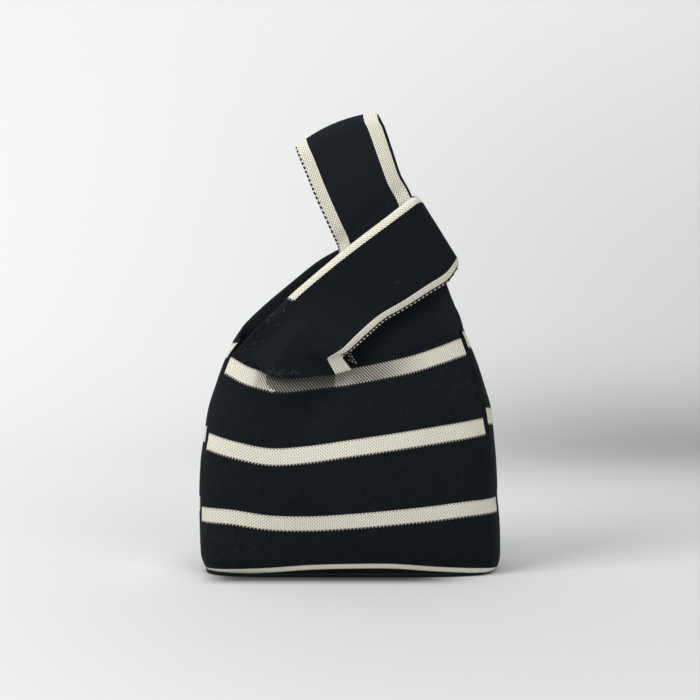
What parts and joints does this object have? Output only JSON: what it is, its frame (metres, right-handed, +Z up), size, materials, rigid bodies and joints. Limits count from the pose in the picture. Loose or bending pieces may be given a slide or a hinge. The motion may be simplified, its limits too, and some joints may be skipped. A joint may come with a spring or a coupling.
{
  "type": "knitted handbag",
  "caption": "Small knitted knot bag with a flat base, striped body and two strap handles of unequal reach, the long one passed up through the short one.",
  "frame": {"origin": "middle of the base, on the surface the bag stands on", "axes": "+Z up through the handles, -Y out of the front, +X to the right seen from the front"},
  "size_m": [0.2255, 0.092, 0.342],
  "materials": {
    "black_knit": "matte double knit, black yarn",
    "cream_knit": "matte double knit, cream yarn"
  },
  "bodies": {
    "bag": {"front_panel": "black_knit", "back_panel": "black_knit", "base_panel": "black_knit", "left_side_seam": "black_knit", "right_side_seam": "black_knit", "front_band_1": "cream_knit", "front_band_2": "cream_knit", "front_band_3": "cream_knit", "front_band_4": "cream_knit", "back_band_1": "cream_knit", "back_band_2": "cream_knit", "back_band_3": "cream_knit", "back_band_4": "cream_knit", "short_handle": "black_knit", "short_handle_outer_band": "cream_knit", "short_handle_inner_band": "cream_knit", "long_handle_front_root": "black_knit", "long_handle_front_root_inner_band": "cream_knit", "long_handle_front_root_outer_band": "cream_knit", "long_handle_back_root": "black_knit", "long_handle_back_root_inner_band": "cream_knit", "long_handle_back_root_outer_band": "cream_knit"},
    "long_handle": {"long_handle_loop": "black_knit", "long_handle_loop_left_band": "cream_knit", "long_handle_loop_right_band": "cream_knit"}
  },
  "joints": [
    {"name": "long_handle_swing", "type": "hinge", "parent": "bag", "child": "long_handle", "pos_m": [0.02, 0, 0.2658], "axis": [0.8, 0, 0.6], "range_deg": [-60, 60]}
  ]
}
